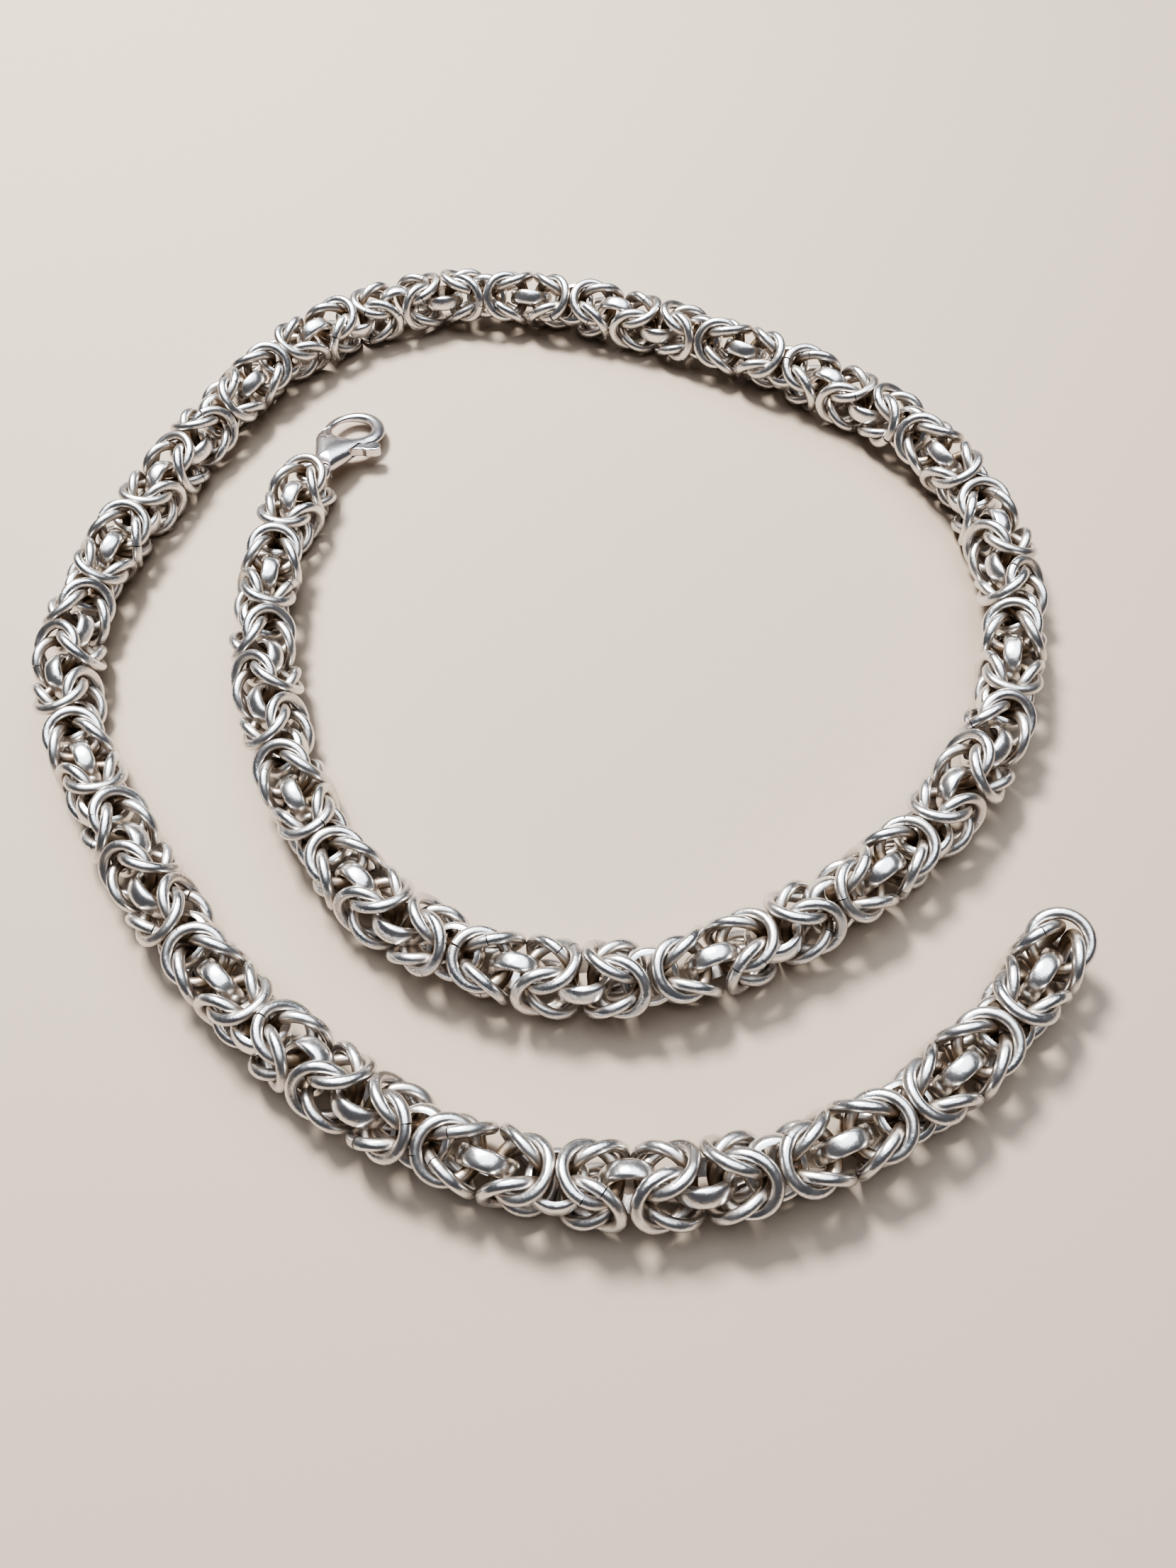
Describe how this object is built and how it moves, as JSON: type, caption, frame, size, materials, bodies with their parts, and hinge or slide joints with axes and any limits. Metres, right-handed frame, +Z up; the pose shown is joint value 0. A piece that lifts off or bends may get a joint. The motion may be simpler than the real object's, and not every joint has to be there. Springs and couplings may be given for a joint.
{
  "type": "byzantine chain necklace",
  "caption": "Silver king's braid chain necklace in round wire, unclasped and lying in an open loop and a half, with a sprung lever clasp at its inner end.",
  "frame": {"origin": "middle of the box round the whole necklace, on the table that it lies on", "axes": "+Z up from the table; +Y away from the viewer of the picture, along the necklace's longer side; +X to the viewer's right"},
  "size_m": [0.1184, 0.1342, 0.0084],
  "materials": {
    "chain_silver": "satin, softly worn silver",
    "clasp_silver": "polished silver"
  },
  "bodies": {
    "necklace": {"chain_stretch_01": "chain_silver", "chain_stretch_02": "chain_silver", "chain_stretch_03": "chain_silver", "chain_stretch_04": "chain_silver", "chain_stretch_05": "chain_silver", "chain_stretch_06": "chain_silver", "chain_stretch_07": "chain_silver", "chain_stretch_08": "chain_silver", "chain_stretch_09": "chain_silver", "chain_stretch_10": "chain_silver", "chain_stretch_11": "chain_silver", "chain_stretch_12": "chain_silver", "chain_stretch_13": "chain_silver", "chain_stretch_14": "chain_silver", "chain_stretch_15": "chain_silver", "chain_stretch_16": "chain_silver", "chain_stretch_17": "chain_silver", "chain_stretch_18": "chain_silver", "chain_stretch_19": "chain_silver", "clasp_body": "clasp_silver"},
    "lever": {"clasp_lever": "clasp_silver"}
  },
  "joints": [
    {"name": "lever_hinge", "type": "hinge", "parent": "necklace", "child": "lever", "pos_m": [-0.02448, 0.03463, 0.00279], "axis": [-0.0864, -0.1624, -0.9829], "range_deg": [0, 25], "stiffness_Nm_per_rad": 0.003, "springref_deg": -17.19}
  ]
}
